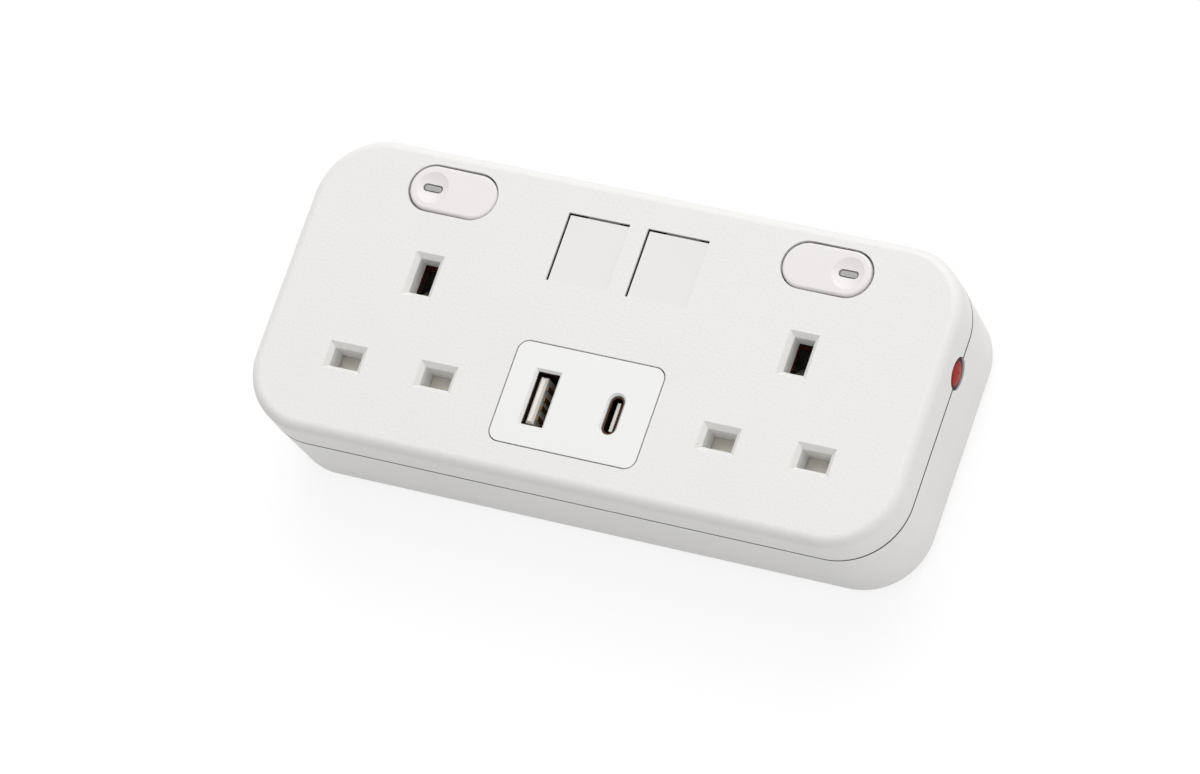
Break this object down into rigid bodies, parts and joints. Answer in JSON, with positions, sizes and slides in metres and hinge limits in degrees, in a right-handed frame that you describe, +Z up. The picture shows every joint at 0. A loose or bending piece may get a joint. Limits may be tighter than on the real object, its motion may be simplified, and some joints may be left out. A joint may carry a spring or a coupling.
{
  "type": "desktop power module",
  "caption": "Rounded white desk power module: shuttered mains sockets with rocker switches, a charging-port plate, blanked data places and a red lamp lens on one end.",
  "frame": {"origin": "on the table, under the middle of the case", "axes": "+X along the case to the right, +Y to the back where the switches are, +Z up out of the face"},
  "size_m": [0.1554, 0.0702, 0.0305],
  "materials": {
    "case_white": "fine moulded texture",
    "rocker_white": "smooth moulded",
    "window_grey": "smooth moulded",
    "blank_white": "moulded",
    "plate_white": "smooth moulded",
    "shutter_cream": "moulded",
    "carrier_brown": "moulded",
    "nylon_black": "moulded",
    "spring_steel": "drawn wire",
    "contact_brass": "rolled strip",
    "screw_steel": "zinc plated",
    "port_steel": "rolled",
    "tongue_ivory": "moulded",
    "tongue_white": "moulded",
    "contact_gold": "plated",
    "board_green": "solder mask",
    "ferrite_grey": "sintered",
    "capacitor_sleeve": "sleeved",
    "lens_red": "clear moulded",
    "lamp_glass": "clear",
    "rubber_black": "matt",
    "gland_white": "matt"
  },
  "bodies": {
    "case": {"top_cover": "case_white", "base_shell": "case_white", "data_blank_left": "blank_white", "data_blank_right": "blank_white", "charger_plate": "plate_white", "shutter_carrier_left": "carrier_brown", "shutter_carrier_right": "carrier_brown", "cord_clamp": "nylon_black", "shutter_spring_left": "spring_steel", "shutter_spring_right": "spring_steel", "earth_bar": "contact_brass", "neutral_bar": "contact_brass", "live_bar": "contact_brass", "live_contact_left": "contact_brass", "live_contact_right": "contact_brass", "case_screws": "screw_steel", "carrier_screws": "screw_steel", "clamp_screws": "screw_steel", "board_screws": "screw_steel", "wide_port_shell": "port_steel", "oval_port_shell": "port_steel", "wide_port_tongue": "tongue_ivory", "oval_port_tongue": "tongue_white", "wide_port_contacts": "contact_gold", "charger_board": "board_green", "charger_transformer": "ferrite_grey", "charger_capacitors": "capacitor_sleeve", "neon_lens": "lens_red", "neon_lamp": "lamp_glass", "rubber_feet": "rubber_black", "cord_gland": "gland_white"},
    "rocker_left": {"rocker_left": "rocker_white", "rocker_window_left": "window_grey", "plunger_left": "nylon_black", "plunger_spring_left": "spring_steel"},
    "rocker_right": {"rocker_right": "rocker_white", "rocker_window_right": "window_grey", "plunger_right": "nylon_black", "plunger_spring_right": "spring_steel"},
    "see_saw_left": {"see_saw_left": "contact_brass"},
    "see_saw_right": {"see_saw_right": "contact_brass"},
    "shutter_left": {"shutter_left": "shutter_cream"},
    "shutter_right": {"shutter_right": "shutter_cream"}
  },
  "joints": [
    {"name": "rocker_left_tip", "type": "hinge", "parent": "case", "child": "rocker_left", "pos_m": [-0.0451, 0.0257, 0.0258], "axis": [0, -1, 0], "range_deg": [0, 2.8]},
    {"name": "see_saw_left_tip", "type": "hinge", "parent": "case", "child": "see_saw_left", "pos_m": [-0.0451, 0.0257, 0.0138], "axis": [0, -1, 0], "range_deg": [-16, 0]},
    {"name": "shutter_left_slide", "type": "slide", "parent": "case", "child": "shutter_left", "axis": [0, -1, 0], "range_m": [0, 0.0056], "stiffness_N_per_m": 120, "springref_m": -0.004, "deforming": ["shutter_spring_left"]},
    {"name": "rocker_right_tip", "type": "hinge", "parent": "case", "child": "rocker_right", "pos_m": [0.0451, 0.0257, 0.0258], "axis": [0, 1, 0], "range_deg": [0, 2.8]},
    {"name": "see_saw_right_tip", "type": "hinge", "parent": "case", "child": "see_saw_right", "pos_m": [0.0451, 0.0257, 0.0138], "axis": [0, 1, 0], "range_deg": [-16, 0]},
    {"name": "shutter_right_slide", "type": "slide", "parent": "case", "child": "shutter_right", "axis": [0, -1, 0], "range_m": [0, 0.0056], "stiffness_N_per_m": 120, "springref_m": -0.004, "deforming": ["shutter_spring_right"]}
  ],
  "couplings": [
    {"joint": "see_saw_left_tip", "follows": "rocker_left_tip", "ratio": -5.7143},
    {"joint": "see_saw_right_tip", "follows": "rocker_right_tip", "ratio": -5.7143}
  ]
}
